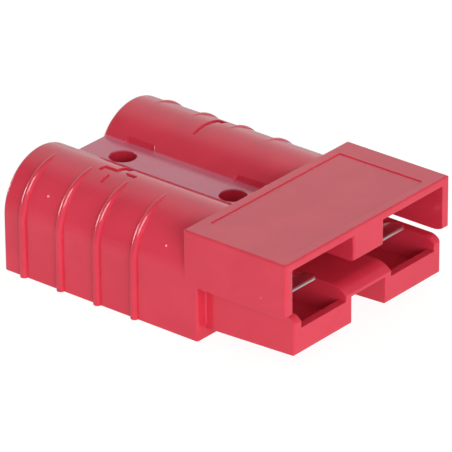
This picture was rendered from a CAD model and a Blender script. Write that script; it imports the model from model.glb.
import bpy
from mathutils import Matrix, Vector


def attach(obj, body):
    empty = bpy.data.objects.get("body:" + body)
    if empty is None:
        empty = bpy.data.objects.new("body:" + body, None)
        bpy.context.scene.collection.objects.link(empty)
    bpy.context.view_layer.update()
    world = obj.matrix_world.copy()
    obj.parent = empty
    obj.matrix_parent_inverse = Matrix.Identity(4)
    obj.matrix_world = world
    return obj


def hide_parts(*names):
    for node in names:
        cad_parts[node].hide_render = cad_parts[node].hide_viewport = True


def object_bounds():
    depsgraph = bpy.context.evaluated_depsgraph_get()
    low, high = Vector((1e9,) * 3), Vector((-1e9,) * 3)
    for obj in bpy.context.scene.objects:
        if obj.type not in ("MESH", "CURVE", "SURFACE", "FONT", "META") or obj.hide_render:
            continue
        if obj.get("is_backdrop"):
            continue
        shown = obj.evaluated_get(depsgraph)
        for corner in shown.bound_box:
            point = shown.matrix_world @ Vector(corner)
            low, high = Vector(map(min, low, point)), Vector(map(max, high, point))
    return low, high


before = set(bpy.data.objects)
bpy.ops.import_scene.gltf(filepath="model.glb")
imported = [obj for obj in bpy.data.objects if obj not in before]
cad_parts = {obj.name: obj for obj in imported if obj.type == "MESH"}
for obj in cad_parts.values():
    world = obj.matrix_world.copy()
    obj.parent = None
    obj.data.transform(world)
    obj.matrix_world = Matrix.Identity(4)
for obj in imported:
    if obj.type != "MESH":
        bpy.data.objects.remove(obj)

"""Looks of a two-pole genderless power connector: a glossy moulded housing and two leaf springs."""

import logging
import math
from dataclasses import dataclass, field
from enum import Enum
from typing import Any, Iterable, Optional, Union

import bmesh
import bpy
from mathutils import Matrix, Vector

LOG = logging.getLogger("connector")
MM = 0.001
Number = Union[int, float]
Span = tuple[float, float]
Place = tuple[float, float, float]
Colour = tuple[float, float, float, float]
AXIS_X: Place = (1.0, 0.0, 0.0)
AXIS_Y: Place = (0.0, 1.0, 0.0)
AXIS_Z: Place = (0.0, 0.0, 1.0)


class Slot(Enum):
    """The record's material slots."""

    PLASTIC = "red_plastic"
    STEEL = "spring_steel"


class Pole(Enum):
    """The two poles of the connector, by the sign of their Y."""

    LEFT = 1
    RIGHT = -1


class Gleam(Enum):
    """Whether a lamp is seen as a gleam on glossy surfaces, or lights them softly."""

    NONE = 0
    ONLY = 1


@dataclass(frozen=True)
class Wire:
    """An output socket that takes part in written arithmetic.

    Args:
        board: The node board that the socket is on.
        socket: The output socket itself, or None for a node that has no output.
    """

    board: "Board"
    socket: Optional[bpy.types.NodeSocket]

    def _sum(self, operation: str, first: Any, second: Any) -> "Wire":
        """Adds one Math node and returns its result."""
        return self.board.node("ShaderNodeMath", {"operation": operation}, {0: first, 1: second})

    def __add__(self, other: Any) -> "Wire":
        """Returns self plus other."""
        return self._sum("ADD", self, other)

    def __radd__(self, other: Any) -> "Wire":
        """Returns other plus self."""
        return self._sum("ADD", other, self)

    def __sub__(self, other: Any) -> "Wire":
        """Returns self less other."""
        return self._sum("SUBTRACT", self, other)

    def __rsub__(self, other: Any) -> "Wire":
        """Returns other less self."""
        return self._sum("SUBTRACT", other, self)

    def __mul__(self, other: Any) -> "Wire":
        """Returns self times other."""
        return self._sum("MULTIPLY", self, other)

    def __rmul__(self, other: Any) -> "Wire":
        """Returns other times self."""
        return self._sum("MULTIPLY", other, self)

    def up_to(self, other: Any) -> "Wire":
        """Returns the smaller of self and other."""
        return self._sum("MINIMUM", self, other)

    def at_least(self, other: Any) -> "Wire":
        """Returns the larger of self and other."""
        return self._sum("MAXIMUM", self, other)

    def ramp(self, low: Number, high: Number, start: Number = 0.0, end: Number = 1.0) -> "Wire":
        """Maps low..high smoothly to start..end.

        Args:
            low: The value that gives start.
            high: The value that gives end.
            start: The result at low.
            end: The result at high.

        Returns:
            The mapped value, held at both ends.
        """
        return self.board.node(
            "ShaderNodeMapRange",
            {"interpolation_type": "SMOOTHSTEP"},
            {0: self, 1: low, 2: high, 3: start, 4: end},
        )


class Board:
    """The node tree of one material or world, emptied and ready for its nodes."""

    def __init__(self, tree: bpy.types.NodeTree) -> None:
        """Takes over a tree.

        Args:
            tree: The node tree, whose default nodes are removed.
        """
        self.tree = tree
        tree.nodes.clear()

    def node(self, kind: str, settings: dict[str, Any], values: dict[Any, Any], out: Any = 0) -> Wire:
        """Makes one node.

        Args:
            kind: The node's type name.
            settings: Properties that are set first; "stops" fills a colour ramp.
            values: Input sockets by name or number, each a Wire or a plain value.
            out: The output socket to hand back, by name or number.

        Returns:
            The chosen output.
        """
        made = self.tree.nodes.new(kind)
        for name, value in settings.items():
            if name == "stops":
                stops = made.color_ramp.elements
                for i, (place, colour) in enumerate(value):
                    stop = stops[i] if i < len(stops) else stops.new(place)
                    stop.position, stop.color = place, colour
            else:
                setattr(made, name, value)
        for name, value in values.items():
            if isinstance(value, Wire):
                self.tree.links.new(value.socket, made.inputs[name])
            else:
                made.inputs[name].default_value = value
        return Wire(self, made.outputs[out] if made.outputs else None)

    def spot(self) -> Wire:
        """Returns the Object coordinates, in metres."""
        return self.node("ShaderNodeTexCoord", {}, {}, "Object")

    def along(self, way: Wire, axis: Place) -> Wire:
        """Returns how far a vector reaches along an axis."""
        return self.node("ShaderNodeVectorMath", {"operation": "DOT_PRODUCT"}, {0: way, 1: axis}, "Value")

    def ray(self, kind: str) -> Wire:
        """Returns 1 for rays of one kind, such as Is Camera Ray, and 0 for the others."""
        return self.node("ShaderNodeLightPath", {}, {}, kind)

    def stretched(self, place: Wire, scale: Place) -> Wire:
        """Returns place with each axis scaled."""
        return self.node("ShaderNodeMapping", {"vector_type": "POINT"}, {"Vector": place, "Scale": scale})

    def noise(self, place: Wire, size_mm: float, detail: float = 2.0, warp: float = 0.0) -> Wire:
        """Adds a noise pattern.

        Args:
            place: Where the pattern is read.
            size_mm: About how large its features are.
            detail: How many finer layers it has.
            warp: How far it is distorted.

        Returns:
            The pattern, from 0 to 1.
        """
        return self.node(
            "ShaderNodeTexNoise",
            {},
            {"Vector": place, "Scale": 1.0 / (size_mm * MM), "Detail": detail, "Distortion": warp},
            "Fac",
        )

    def blend(self, share: Any, first: Any, second: Any) -> Wire:
        """Returns the colour that goes from first to second as share goes from 0 to 1."""
        return self.node("ShaderNodeMix", {"data_type": "RGBA"}, {0: share, 6: first, 7: second}, 2)

    def bump(self, height: Wire, depth_mm: float, under: Optional[Wire] = None) -> Wire:
        """Adds a relief.

        Args:
            height: The relief's height, in units of depth_mm.
            depth_mm: How high a height of 1 stands.
            under: The normal that the relief is laid on, if it isn't the surface's own.

        Returns:
            The raised normal.
        """
        values: dict[Any, Any] = {"Height": height, "Distance": depth_mm * MM, "Strength": 1.0}
        if under is not None:
            values["Normal"] = under
        return self.node("ShaderNodeBump", {}, values)


def rgb(red: float, green: float, blue: float) -> Colour:
    """Returns an opaque linear colour."""
    return (red, green, blue, 1.0)


def metres(span: Span) -> Span:
    """Returns a span in millimetres as one in metres."""
    return (span[0] * MM, span[1] * MM)


@dataclass(frozen=True)
class Blemish:
    """A small light nick in the moulding.

    Args:
        place: Its centre in millimetres.
        radius: Its radius in millimetres.
        strength: How far its colour goes towards the pale tint.
    """

    place: Place
    radius: float
    strength: float


@dataclass(frozen=True)
class GlossPlastic:
    """Glossy moulded plastic, red right through, with a faint ripple and a few nicks.

    Spans are where a mask fades in or out, in millimetres.

    Args:
        red: Its main colour.
        deep_red: Its colour in the darker clouds.
        pale: Its colour in a nick.
        haze: Its colour on the web between the barrels.
        cloud_mm: Size of the clouds of colour.
        cloud_warp: How far the clouds are distorted.
        cloud_span: The part of the cloud pattern over which the colour changes.
        ripple_mm: Size of the ripples.
        ripple_depth: Depth of the ripples in millimetres.
        grain_mm: Size of the grain.
        grain_depth: Depth of the grain in millimetres.
        grain_spread: How much the grain changes the roughness.
        smear_mm: Size of the smears in the gloss.
        smear_warp: How far the smears are distorted.
        smear_stretch: Scale of the smears along each axis.
        gloss: Its mean roughness.
        gloss_spread: How much the smears change the roughness.
        satin: How much rougher the hood top is.
        least_rough: The least roughness anywhere.
        nick_core: The share of a nick's radius that has its full strength.
        nick_depth: Height of a nick's burr in millimetres.
        nick_rough: How much rougher a nick is.
        haze_share: The least share of haze on the web.
        haze_spread: How much the smears add to that share.
        hood_start: Where the hood's top begins along X.
        hood_height: The heights just below the hood's top.
        web_side: Where the web ends on each side of the middle.
        web_front: Where the web ends at the hood.
        web_low: The heights just below the web's top.
        web_high: The heights just above the web's top.
        blemishes: The nicks.
    """

    red: Colour = rgb(0.71, 0.041, 0.076)
    deep_red: Colour = rgb(0.66, 0.034, 0.067)
    pale: Colour = rgb(0.95, 0.50, 0.52)
    haze: Colour = rgb(0.67, 0.17, 0.25)
    cloud_mm: float = 14.0
    cloud_warp: float = 0.6
    cloud_span: Span = (0.3, 0.7)
    ripple_mm: float = 5.0
    ripple_depth: float = 0.010
    grain_mm: float = 0.35
    grain_depth: float = 0.0005
    grain_spread: float = 0.05
    smear_mm: float = 3.2
    smear_warp: float = 1.2
    smear_stretch: Place = (0.35, 1.0, 1.0)
    gloss: float = 0.13
    gloss_spread: float = 0.09
    satin: float = 0.1
    least_rough: float = 0.05
    nick_core: float = 0.3
    nick_depth: float = 0.08
    nick_rough: float = 0.2
    haze_share: float = 0.6
    haze_spread: float = 0.5
    hood_start: Span = (11.5, 12.2)
    hood_height: Span = (25.0, 25.2)
    web_side: Span = (5.6, 6.6)
    web_front: Span = (11.0, 11.6)
    web_low: Span = (19.5, 19.9)
    web_high: Span = (20.1, 20.6)
    blemishes: tuple[Blemish, ...] = (
        Blemish((-28.1, -25.7, 20.3), 0.4, 0.7),
        Blemish((5.7, -26.4, 19.2), 0.3, 0.8),
        Blemish((32.8, -27.95, 16.1), 0.28, 0.3),
    )

    def make(self) -> bpy.types.Material:
        """Makes the material.

        Returns:
            The material, which reads the piece's Object coordinates.
        """
        material = bpy.data.materials.new("gloss_red")
        material.use_nodes = True
        board = Board(material.node_tree)
        place = board.spot()
        cloud = board.noise(place, self.cloud_mm, 3.0, self.cloud_warp)
        ripple = board.noise(place, self.ripple_mm, 1.0)
        grain = board.noise(place, self.grain_mm, 3.0)
        smear = board.noise(board.stretched(place, self.smear_stretch), self.smear_mm, 4.0, self.smear_warp)
        nicks = self._nicks(board, place)
        hazy = self._web(board, place) * (self.haze_share + smear * self.haze_spread)
        colour = board.blend(cloud.ramp(*self.cloud_span), self.deep_red, self.red)
        colour = board.blend(hazy, colour, self.haze)
        colour = board.blend(nicks, colour, self.pale)
        roughness = self.gloss + (smear - 0.5) * self.gloss_spread + (grain - 0.5) * self.grain_spread
        roughness = roughness + nicks * self.nick_rough + self._hood_top(board, place) * self.satin
        relief = board.bump(ripple, self.ripple_depth)
        relief = board.bump(grain, self.grain_depth, relief)
        relief = board.bump(nicks, self.nick_depth, relief)
        shader = board.node(
            "ShaderNodeBsdfPrincipled",
            {},
            {
                "Base Color": colour,
                "Roughness": roughness.at_least(self.least_rough),
                "Normal": relief,
                "IOR": 1.5,
            },
        )
        board.node("ShaderNodeOutputMaterial", {}, {"Surface": shader})
        return material

    def _hood_top(self, board: Board, place: Wire) -> Wire:
        """Returns the mask of the hood's top, which is finely textured."""
        behind = board.along(place, AXIS_X).ramp(*metres(self.hood_start))
        return behind * board.along(place, AXIS_Z).ramp(*metres(self.hood_height))

    def _web(self, board: Board, place: Wire) -> Wire:
        """Makes the mask of the web between the barrels, which has a paler, hazy skin.

        Args:
            board: The material's board.
            place: The Object coordinates.

        Returns:
            1 on the web's top and 0 elsewhere.
        """
        across = board.along(place, AXIS_Y)
        height = board.along(place, AXIS_Z)
        low, high = metres(self.web_side)
        inside = (across * across).ramp(low ** 2, high ** 2, 1.0, 0.0)
        inside = inside * board.along(place, AXIS_X).ramp(*metres(self.web_front), 1.0, 0.0)
        return inside * height.ramp(*metres(self.web_low)) * height.ramp(*metres(self.web_high), 1.0, 0.0)

    def _nicks(self, board: Board, place: Wire) -> Wire:
        """Makes the mask of the nicks.

        Args:
            board: The material's board.
            place: The Object coordinates.

        Returns:
            Each nick's strength at its middle, fading to 0 at its edge.
        """
        total: Any = 0.0
        for blemish in self.blemishes:
            centre = tuple(value * MM for value in blemish.place)
            away = board.node(
                "ShaderNodeVectorMath", {"operation": "DISTANCE"}, {0: place, 1: centre}, "Value"
            )
            edge = blemish.radius * MM
            total = away.ramp(self.nick_core * edge, edge, blemish.strength, 0.0) + total
        return total.up_to(1.0)


@dataclass(frozen=True)
class SpringSteel:
    """Bright stainless strip, with fine rolling lines along its length.

    Args:
        bright: Its colour on the lines.
        dull: Its colour between the lines.
        line_mm: Width of the lines.
        line_stretch: Scale of the lines along each axis.
        line_depth: Depth of the lines in millimetres.
        line_rough: How much the lines add to the roughness.
        line_share: How far the lines set the colour; the stains set the rest.
        stain_mm: Size of the stains.
        stain_warp: How far the stains are distorted.
        stain_rough: How much the stains change the roughness.
        gloss: Its least roughness.
    """

    bright: Colour = rgb(0.86, 0.85, 0.85)
    dull: Colour = rgb(0.74, 0.73, 0.74)
    line_mm: float = 0.16
    line_stretch: Place = (0.03, 1.0, 0.25)
    line_depth: float = 0.0004
    line_rough: float = 0.14
    line_share: float = 0.6
    stain_mm: float = 2.6
    stain_warp: float = 0.8
    stain_rough: float = 0.08
    gloss: float = 0.26

    def make(self) -> bpy.types.Material:
        """Makes the material.

        Returns:
            The material, which reads the piece's Object coordinates.
        """
        material = bpy.data.materials.new("rolled_steel")
        material.use_nodes = True
        board = Board(material.node_tree)
        place = board.spot()
        lines = board.noise(board.stretched(place, self.line_stretch), self.line_mm, 3.0)
        stain = board.noise(place, self.stain_mm, 3.0, self.stain_warp)
        share = lines * self.line_share + stain * (1 - self.line_share)
        roughness = self.gloss + lines * self.line_rough + (stain - 0.5) * self.stain_rough
        shader = board.node(
            "ShaderNodeBsdfPrincipled",
            {},
            {
                "Base Color": board.blend(share, self.dull, self.bright),
                "Metallic": 1.0,
                "Roughness": roughness,
                "Normal": board.bump(lines, self.line_depth),
            },
        )
        board.node("ShaderNodeOutputMaterial", {}, {"Surface": shader})
        return material


def placed(shape: bmesh.types.BMesh, name: str) -> bpy.types.Object:
    """Puts a mesh in the scene, at the origin.

    Args:
        shape: The mesh, which is freed.
        name: The new object's name.

    Returns:
        The object.
    """
    mesh = bpy.data.meshes.new(name)
    shape.to_mesh(mesh)
    shape.free()
    piece = bpy.data.objects.new(name, mesh)
    bpy.context.scene.collection.objects.link(piece)
    return piece


def settled(piece: bpy.types.Object) -> bpy.types.Object:
    """Applies a piece's modifiers to its mesh.

    Args:
        piece: The piece, which loses its modifiers.

    Returns:
        The same piece.
    """
    bpy.context.view_layer.update()
    graph = bpy.context.evaluated_depsgraph_get()
    mesh = bpy.data.meshes.new_from_object(piece.evaluated_get(graph), depsgraph=graph)
    piece.modifiers.clear()
    old, piece.data = piece.data, mesh
    mesh.name = piece.name
    bpy.data.meshes.remove(old)
    return piece


def evened(piece: bpy.types.Object) -> bpy.types.Object:
    """Weights a piece's normals by the size of its faces, between its sharp edges.

    Args:
        piece: The piece.

    Returns:
        The same piece.
    """
    step = piece.modifiers.new("even_normals", "WEIGHTED_NORMAL")
    step.keep_sharp = True
    return settled(piece)


def dress(piece: bpy.types.Object, node: str, material: bpy.types.Material) -> None:
    """Gives a piece its finish and fixes it to the part in place of a CAD node.

    Args:
        piece: The piece.
        node: The CAD node that it stands for.
        material: Its finish.
    """
    piece.data.materials.clear()
    piece.data.materials.append(material)
    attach(piece, "root")
    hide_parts(node)


@dataclass
class Softener:
    """Turns a CAD mesh into a skin with small rounds on its outer edges.

    Args:
        round_mm: Width of the round on each outer edge.
        weld_mm: Points closer than this are joined before the rounds are cut.
        sharp_deg: Edges that turn by more than this are outer edges.
        flat_deg: Faces that turn by less than this are made one before the rounds are cut.
        steps: Steps in each round.
        merge_mm: Points closer than this are the same point.
    """

    round_mm: float = 0.12
    weld_mm: float = 0.06
    sharp_deg: float = 30.0
    flat_deg: float = 0.4
    steps: int = 2
    merge_mm: float = 0.001

    def copy(self, node: str) -> bmesh.types.BMesh:
        """Copies a CAD node's mesh.

        Args:
            node: The node's name.

        Returns:
            A closed copy, with its loose triangles joined.
        """
        shape = bmesh.new()
        shape.from_mesh(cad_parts[node].data)
        bmesh.ops.remove_doubles(shape, verts=shape.verts, dist=self.merge_mm * MM)
        return shape

    def sharp(self, shape: bmesh.types.BMesh, outer: bool) -> list[bmesh.types.BMEdge]:
        """Finds the edges that turn sharply.

        Args:
            shape: The mesh.
            outer: Whether only the outward edges are wanted.

        Returns:
            The edges.
        """
        limit = math.radians(self.sharp_deg)
        return [
            edge
            for edge in shape.edges
            if len(edge.link_faces) == 2 and edge.calc_face_angle() > limit and (edge.is_convex or not outer)
        ]

    def soften(self, shape: bmesh.types.BMesh) -> None:
        """Joins stray points, clears flat faces and rounds the outer edges.

        Args:
            shape: The mesh, which is changed.
        """
        bmesh.ops.remove_doubles(shape, verts=shape.verts, dist=self.weld_mm * MM)
        bmesh.ops.dissolve_degenerate(shape, dist=self.merge_mm * MM, edges=shape.edges)
        bmesh.ops.dissolve_limit(
            shape,
            angle_limit=math.radians(self.flat_deg),
            verts=shape.verts,
            edges=shape.edges,
            use_dissolve_boundaries=False,
        )
        bmesh.ops.bevel(
            shape,
            geom=self.sharp(shape, outer=True),
            offset=self.round_mm * MM,
            offset_type="OFFSET",
            segments=self.steps,
            profile=0.5,
            affect="EDGES",
            clamp_overlap=False,
            material=-1,
        )

    def finish(self, shape: bmesh.types.BMesh, name: str) -> bpy.types.Object:
        """Makes an object of a mesh, smooth between its sharp edges.

        Args:
            shape: The mesh, which is freed.
            name: The new object's name.

        Returns:
            The object, in the scene at the origin.
        """
        for face in shape.faces:
            face.smooth = True
        for edge in self.sharp(shape, outer=False):
            edge.smooth = False
        return placed(shape, name)


@dataclass
class Housing:
    """The moulded housing: the CAD shape with soft outer edges and sunk polarity marks.

    Sizes and places are in millimetres.

    Args:
        finish: The plastic.
        softener: What rounds its edges.
        barrel_radius: Radius of a barrel's outside.
        barrel_y: How far each barrel's middle lies from the middle plane.
        barrel_z: Height of a barrel's middle.
        round_near: How far off the barrel's radius a point of its round may lie.
        round_facing: How nearly a face of that round looks straight out, as a cosine.
        mark_x: Where the marks' middle lies along X.
        mark_length: Length of the bars.
        mark_width: Width of the bars.
        mark_depth: Depth of the bars below the barrel's skin.
        mark_corner: Corner radius of the bars.
        corner_steps: Steps in each corner of the bars.
        tool_low: Height of the bar tools' lower end above the barrel's middle.
        tool_over: How far the bar tools reach above the barrel's crest.
        core_length: Length of the round core under a mark.
        core_steps: Steps round that core.
    """

    finish: GlossPlastic = GlossPlastic()
    softener: Softener = field(default_factory=Softener)
    barrel_radius: float = 12.4
    barrel_y: float = 15.55
    barrel_z: float = 13.1
    round_near: float = 0.03
    round_facing: float = 0.99
    mark_x: float = -16.95
    mark_length: float = 9.2
    mark_width: float = 2.5
    mark_depth: float = 0.42
    mark_corner: float = 0.35
    corner_steps: int = 3
    tool_low: float = 6.0
    tool_over: float = 2.0
    core_length: float = 30.0
    core_steps: int = 128

    def bar(self, pole: Pole, length: float, width: float) -> bmesh.types.BMesh:
        """Makes an upright block with rounded corners that reaches above a barrel.

        Args:
            pole: The barrel's pole.
            length: The block's size along X.
            width: The block's size along Y.

        Returns:
            The block.
        """
        low = self.barrel_z + self.tool_low
        high = self.barrel_z + self.barrel_radius + self.tool_over
        centre = Vector((self.mark_x, pole.value * self.barrel_y, 0))
        shape = bmesh.new()
        verts = bmesh.ops.create_cube(shape, size=1.0)["verts"]
        bmesh.ops.scale(shape, verts=verts, vec=(length * MM, width * MM, (high - low) * MM))
        bmesh.ops.translate(shape, verts=verts, vec=(centre.x * MM, centre.y * MM, (low + high) / 2 * MM))
        upright = [edge for edge in shape.edges if abs(edge.verts[0].co.z - edge.verts[1].co.z) > MM]
        bmesh.ops.bevel(
            shape,
            geom=upright,
            offset=self.mark_corner * MM,
            offset_type="OFFSET",
            segments=self.corner_steps,
            profile=0.5,
            affect="EDGES",
            clamp_overlap=True,
            material=-1,
        )
        return shape

    def core(self, pole: Pole) -> bpy.types.Object:
        """Makes the round core that stops a mark at its depth.

        Args:
            pole: The mark's pole.

        Returns:
            The core, as a tool.
        """
        shape = bmesh.new()
        bmesh.ops.create_cone(
            shape,
            cap_ends=True,
            segments=self.core_steps,
            depth=self.core_length * MM,
            radius1=(self.barrel_radius - self.mark_depth) * MM,
            radius2=(self.barrel_radius - self.mark_depth) * MM,
        )
        turn = Matrix.Rotation(math.pi / 2, 3, "Y")
        bmesh.ops.rotate(shape, verts=shape.verts, cent=(0, 0, 0), matrix=turn)
        middle = (self.mark_x * MM, pole.value * self.barrel_y * MM, self.barrel_z * MM)
        bmesh.ops.translate(shape, verts=shape.verts, vec=middle)
        return placed(shape, f"core_{pole.name.lower()}")

    def cut(self, piece: bpy.types.Object, tool: bpy.types.Object, how: str) -> bpy.types.Object:
        """Applies one boolean to a piece and throws the tool away.

        Args:
            piece: The piece.
            tool: The tool.
            how: The boolean's operation.

        Returns:
            The piece.
        """
        step = piece.modifiers.new("cut", "BOOLEAN")
        step.operation, step.solver, step.object = how, "EXACT", tool
        settled(piece)
        bpy.data.objects.remove(tool)
        return piece

    def mark(self, pole: Pole) -> bpy.types.Object:
        """Makes the tool that sinks a pole's mark: a plus on the right, a minus on the left.

        Args:
            pole: The pole.

        Returns:
            The tool.
        """
        tool = placed(self.bar(pole, self.mark_width, self.mark_length), f"mark_{pole.name.lower()}")
        if pole is Pole.RIGHT:
            other = placed(self.bar(pole, self.mark_length, self.mark_width), "cross_bar")
            self.cut(tool, other, "UNION")
        return self.cut(tool, self.core(pole), "DIFFERENCE")

    def build(self) -> bpy.types.Object:
        """Builds, dresses and fixes the housing's skin.

        Returns:
            The skin.
        """
        blank = self.softener.finish(self.softener.copy("housing"), "housing_skin")
        for pole in Pole:
            self.cut(blank, self.mark(pole), "DIFFERENCE")
        shape = bmesh.new()
        shape.from_mesh(blank.data)
        bpy.data.objects.remove(blank)
        self.softener.soften(shape)
        skin = evened(self.softener.finish(shape, "housing_skin"))
        self.true_barrels(skin.data)
        dress(skin, "housing", self.finish.make())
        return skin

    def true_barrels(self, mesh: bpy.types.Mesh) -> None:
        """Turns the normals on the round of each barrel straight out from its middle.

        Args:
            mesh: The housing's mesh.
        """
        normals = [Vector(item.vector) for item in mesh.corner_normals]
        for face in mesh.polygons:
            for pole in Pole:
                axis = Vector((0, pole.value * self.barrel_y * MM, self.barrel_z * MM))
                corners = [mesh.vertices[mesh.loops[i].vertex_index].co - axis for i in face.loop_indices]
                flat = [Vector((0, c.y, c.z)) for c in corners]
                if any(abs(c.length - self.barrel_radius * MM) > self.round_near * MM for c in flat):
                    continue
                for i, c in zip(face.loop_indices, flat):
                    if c.normalized().dot(face.normal) > self.round_facing:
                        normals[i] = c.normalized()
        mesh.normals_split_custom_set(normals)


@dataclass
class LeafSpring:
    """One leaf spring: the CAD strip with its edges broken.

    Args:
        pole: The pole that it serves.
        steel: The finish that both springs share.
        softener: The size of its edge rounds.
    """

    pole: Pole
    steel: bpy.types.Material
    softener: Softener

    def build(self) -> bpy.types.Object:
        """Builds, dresses and fixes the strip.

        Returns:
            The strip.
        """
        node = f"spring_{self.pole.name.lower()}"
        shape = self.softener.copy(node)
        self.softener.soften(shape)
        strip = evened(self.softener.finish(shape, f"{node}_strip"))
        dress(strip, node, self.steel)
        return strip


@dataclass(frozen=True)
class Lamp:
    """A soft square lamp that faces the part.

    Args:
        name: Its name.
        place: Where it hangs, in metres.
        size: The length of its side in metres.
        power: Its power in watts.
        gleam: Whether gloss shows it.
    """

    name: str
    place: Place
    size: float
    power: float
    gleam: Gleam


@dataclass
class Studio:
    """A pale floor, soft light and the camera. Lengths are in metres.

    Args:
        lens: The camera's focal length in millimetres.
        sensor: The width of its sensor in millimetres.
        far: How far it sees.
        eye: Where the camera stands.
        ahead: The way it looks.
        right: The way to its right.
        floor_size: The length of the floor's side.
        floor_drop: How far the floor lies under the part.
        floor_glow: How brightly the floor glows.
        floor_tint: How much light the floor throws back to the camera.
        floor_bounce: How much light it throws back to the part.
        level_ahead: The way the camera looks, made level.
        behind_edge: Where the floor behind the part begins, along level_ahead.
        sheet_span: Where the bright sheet under the part ends, from its middle.
        sheet_dim: How bright gloss shows the floor beyond that sheet, on the camera's side.
        under_edge: Width of the edge of the shade under the part.
        under_shade: How much dimmer the floor is in that shade.
        bright_side: The way to the brighter side of the surround.
        gloss_span: Where the surround that gloss shows brightens, along bright_side.
        gloss_levels: How bright gloss shows the surround, before and past that span.
        fill_span: The heights over which the soft light dims.
        fill_levels: How bright the soft light is at each end of that span.
        aim: The point that the lamps face.
        lamps: The lamps.
    """

    lens: float = 392.68
    sensor: float = 36.0
    far: float = 10.0
    eye: Place = (0.6117, -0.73508, 0.48509)
    ahead: Place = (-0.5731712, 0.68905254, -0.44348773)
    right: Place = (0.77113232, 0.63663094, -0.00748312)
    floor_size: float = 6.0
    floor_drop: float = 0.0002
    floor_glow: float = 0.92
    floor_tint: float = 0.17
    floor_bounce: float = 0.55
    level_ahead: Place = (-0.6395, 0.7688, 0.0)
    behind_edge: Span = (-0.03, 0.03)
    sheet_span: Span = (0.085, 0.135)
    sheet_dim: float = 0.32
    under_edge: float = 0.014
    under_shade: float = 0.65
    bright_side: Place = (-0.78, 0.626, 0.0)
    gloss_span: Span = (0.28, 0.7)
    gloss_levels: Span = (0.26, 1.05)
    fill_span: Span = (0.0, 0.9)
    fill_levels: Span = (1.06, 0.42)
    aim: Place = (0.0, 0.0, 0.012)
    lamps: tuple[Lamp, ...] = (
        Lamp("front_fill", (1.25, -0.76, 0.28), 0.9, 14.5, Gleam.NONE),
        Lamp("back_gleam", (1.0, 1.0, 0.16), 0.8, 0.9, Gleam.ONLY),
        Lamp("left_gleam", (-1.35, -0.38, 0.12), 0.65, 11.0, Gleam.ONLY),
        Lamp("top_gleam", (0.25, -0.84, 1.05), 0.9, 20.0, Gleam.ONLY),
    )

    def camera(self) -> bpy.types.Object:
        """Adds the camera and makes it the scene's own.

        Returns:
            The camera.
        """
        data = bpy.data.cameras.new("camera")
        data.sensor_width, data.lens, data.clip_end = self.sensor, self.lens, self.far
        ahead, right = Vector(self.ahead), Vector(self.right)
        up = right.cross(ahead)
        camera = bpy.data.objects.new("camera", data)
        bpy.context.scene.collection.objects.link(camera)
        rows = [(right[i], up[i], -ahead[i], self.eye[i]) for i in range(3)]
        camera.matrix_world = Matrix((*rows, (0, 0, 0, 1)))
        bpy.context.scene.camera = camera
        return camera

    def hang(self, lamp: Lamp) -> bpy.types.Object:
        """Hangs a lamp.

        Args:
            lamp: Its facts.

        Returns:
            The lamp's object.
        """
        data = bpy.data.lights.new(lamp.name, "AREA")
        data.shape, data.size, data.energy = "SQUARE", lamp.size, lamp.power
        hung = bpy.data.objects.new(lamp.name, data)
        bpy.context.scene.collection.objects.link(hung)
        hung.location = lamp.place
        way = Vector(self.aim) - Vector(lamp.place)
        hung.rotation_euler = way.to_track_quat("-Z", "Y").to_euler()
        hung.visible_camera = False
        hung.visible_glossy = lamp.gleam is Gleam.ONLY
        hung.visible_diffuse = lamp.gleam is Gleam.NONE
        return hung

    def floor(self) -> bpy.types.Object:
        """Adds the pale floor, which glows softly and takes a faint shadow.

        Returns:
            The floor.
        """
        shape = bmesh.new()
        bmesh.ops.create_grid(shape, x_segments=1, y_segments=1, size=self.floor_size / 2)
        floor = placed(shape, "floor")
        floor.location.z = -self.floor_drop
        material = bpy.data.materials.new("pale_floor")
        material.use_nodes = True
        board = Board(material.node_tree)
        gloss, seen = board.ray("Is Glossy Ray"), board.ray("Is Camera Ray")
        place = board.spot()
        away = board.node("ShaderNodeVectorMath", {"operation": "LENGTH"}, {0: place}, "Value")
        near = away.ramp(*self.sheet_span, 1.0, self.sheet_dim)
        sheet = near.at_least(board.along(place, self.level_ahead).ramp(*self.behind_edge))
        under = self.shade_under(board, place)
        glow = (1 - gloss * (1 - sheet)) * (1 - (1 - seen) * under)
        light = board.node(
            "ShaderNodeEmission", {}, {"Color": rgb(1.0, 0.995, 0.99), "Strength": glow * self.floor_glow}
        )
        tint = board.blend(seen, rgb(*[self.floor_bounce] * 3), rgb(*[self.floor_tint] * 3))
        matte = board.node("ShaderNodeBsdfDiffuse", {}, {"Color": tint})
        both = board.node("ShaderNodeAddShader", {}, {0: light, 1: matte})
        board.node("ShaderNodeOutputMaterial", {}, {"Surface": both})
        floor.data.materials.append(material)
        floor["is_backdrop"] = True
        return floor

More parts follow.
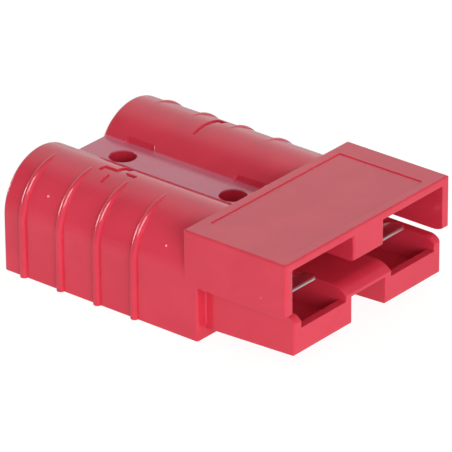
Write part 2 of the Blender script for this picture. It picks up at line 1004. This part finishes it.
    def shade_under(self, board: Board, place: Wire) -> Wire:
        """Works out how much dimmer the floor is under the part, where no light falls on it.

        Args:
            board: The floor's board.
            place: The Object coordinates.

        Returns:
            The share of light that is missing.
        """
        half = Vector(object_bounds()[1])
        shade: Any = self.under_shade
        for axis, reach in ((AXIS_X, half.x), (AXIS_Y, half.y)):
            away = board.node("ShaderNodeMath", {"operation": "ABSOLUTE"}, {0: board.along(place, axis)})
            shade = away.ramp(reach - self.under_edge, reach, 1.0, 0.0) * shade
        return shade

    def surround(self) -> bpy.types.World:
        """Sets the white surround: bright round the horizon, dimmer overhead and behind the camera.

        Returns:
            The world.
        """
        world = bpy.data.worlds.new("surround")
        bpy.context.scene.world = world
        world.use_nodes = True
        board = Board(world.node_tree)
        way = board.spot()
        seen = board.ray("Is Camera Ray")
        mirror = (board.ray("Is Glossy Ray") + board.ray("Is Transmission Ray")).up_to(1.0)
        shown = board.along(way, self.bright_side).ramp(*self.gloss_span, *self.gloss_levels)
        fill = board.along(way, AXIS_Z).ramp(*self.fill_span, *self.fill_levels)
        strength = seen + (1 - seen) * (mirror * shown + (1 - mirror) * fill)
        light = board.node("ShaderNodeBackground", {}, {"Color": rgb(1, 1, 1), "Strength": strength})
        board.node("ShaderNodeOutputWorld", {}, {"Surface": light})
        return world

    def build(self) -> None:
        """Sets the whole studio."""
        self.camera()
        self.floor()
        self.surround()
        for lamp in self.lamps:
            self.hang(lamp)
        bpy.context.scene.view_settings.view_transform = "Standard"


def report(pieces: Iterable[bpy.types.Object]) -> None:
    """Logs each piece with its face count."""
    for piece in pieces:
        LOG.info("%s: %d faces", piece.name, len(piece.data.polygons))


def main() -> None:
    """Builds the studio, the housing and the two springs."""
    logging.basicConfig(level=logging.INFO)
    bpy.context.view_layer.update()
    Studio().build()
    pieces = [Housing().build()]
    steel = SpringSteel().make()
    soft = Softener(round_mm=0.08, weld_mm=0.01, sharp_deg=40.0)
    pieces += [LeafSpring(pole, steel, soft).build() for pole in Pole]
    report(pieces)


if __name__ == "__main__":
    main()
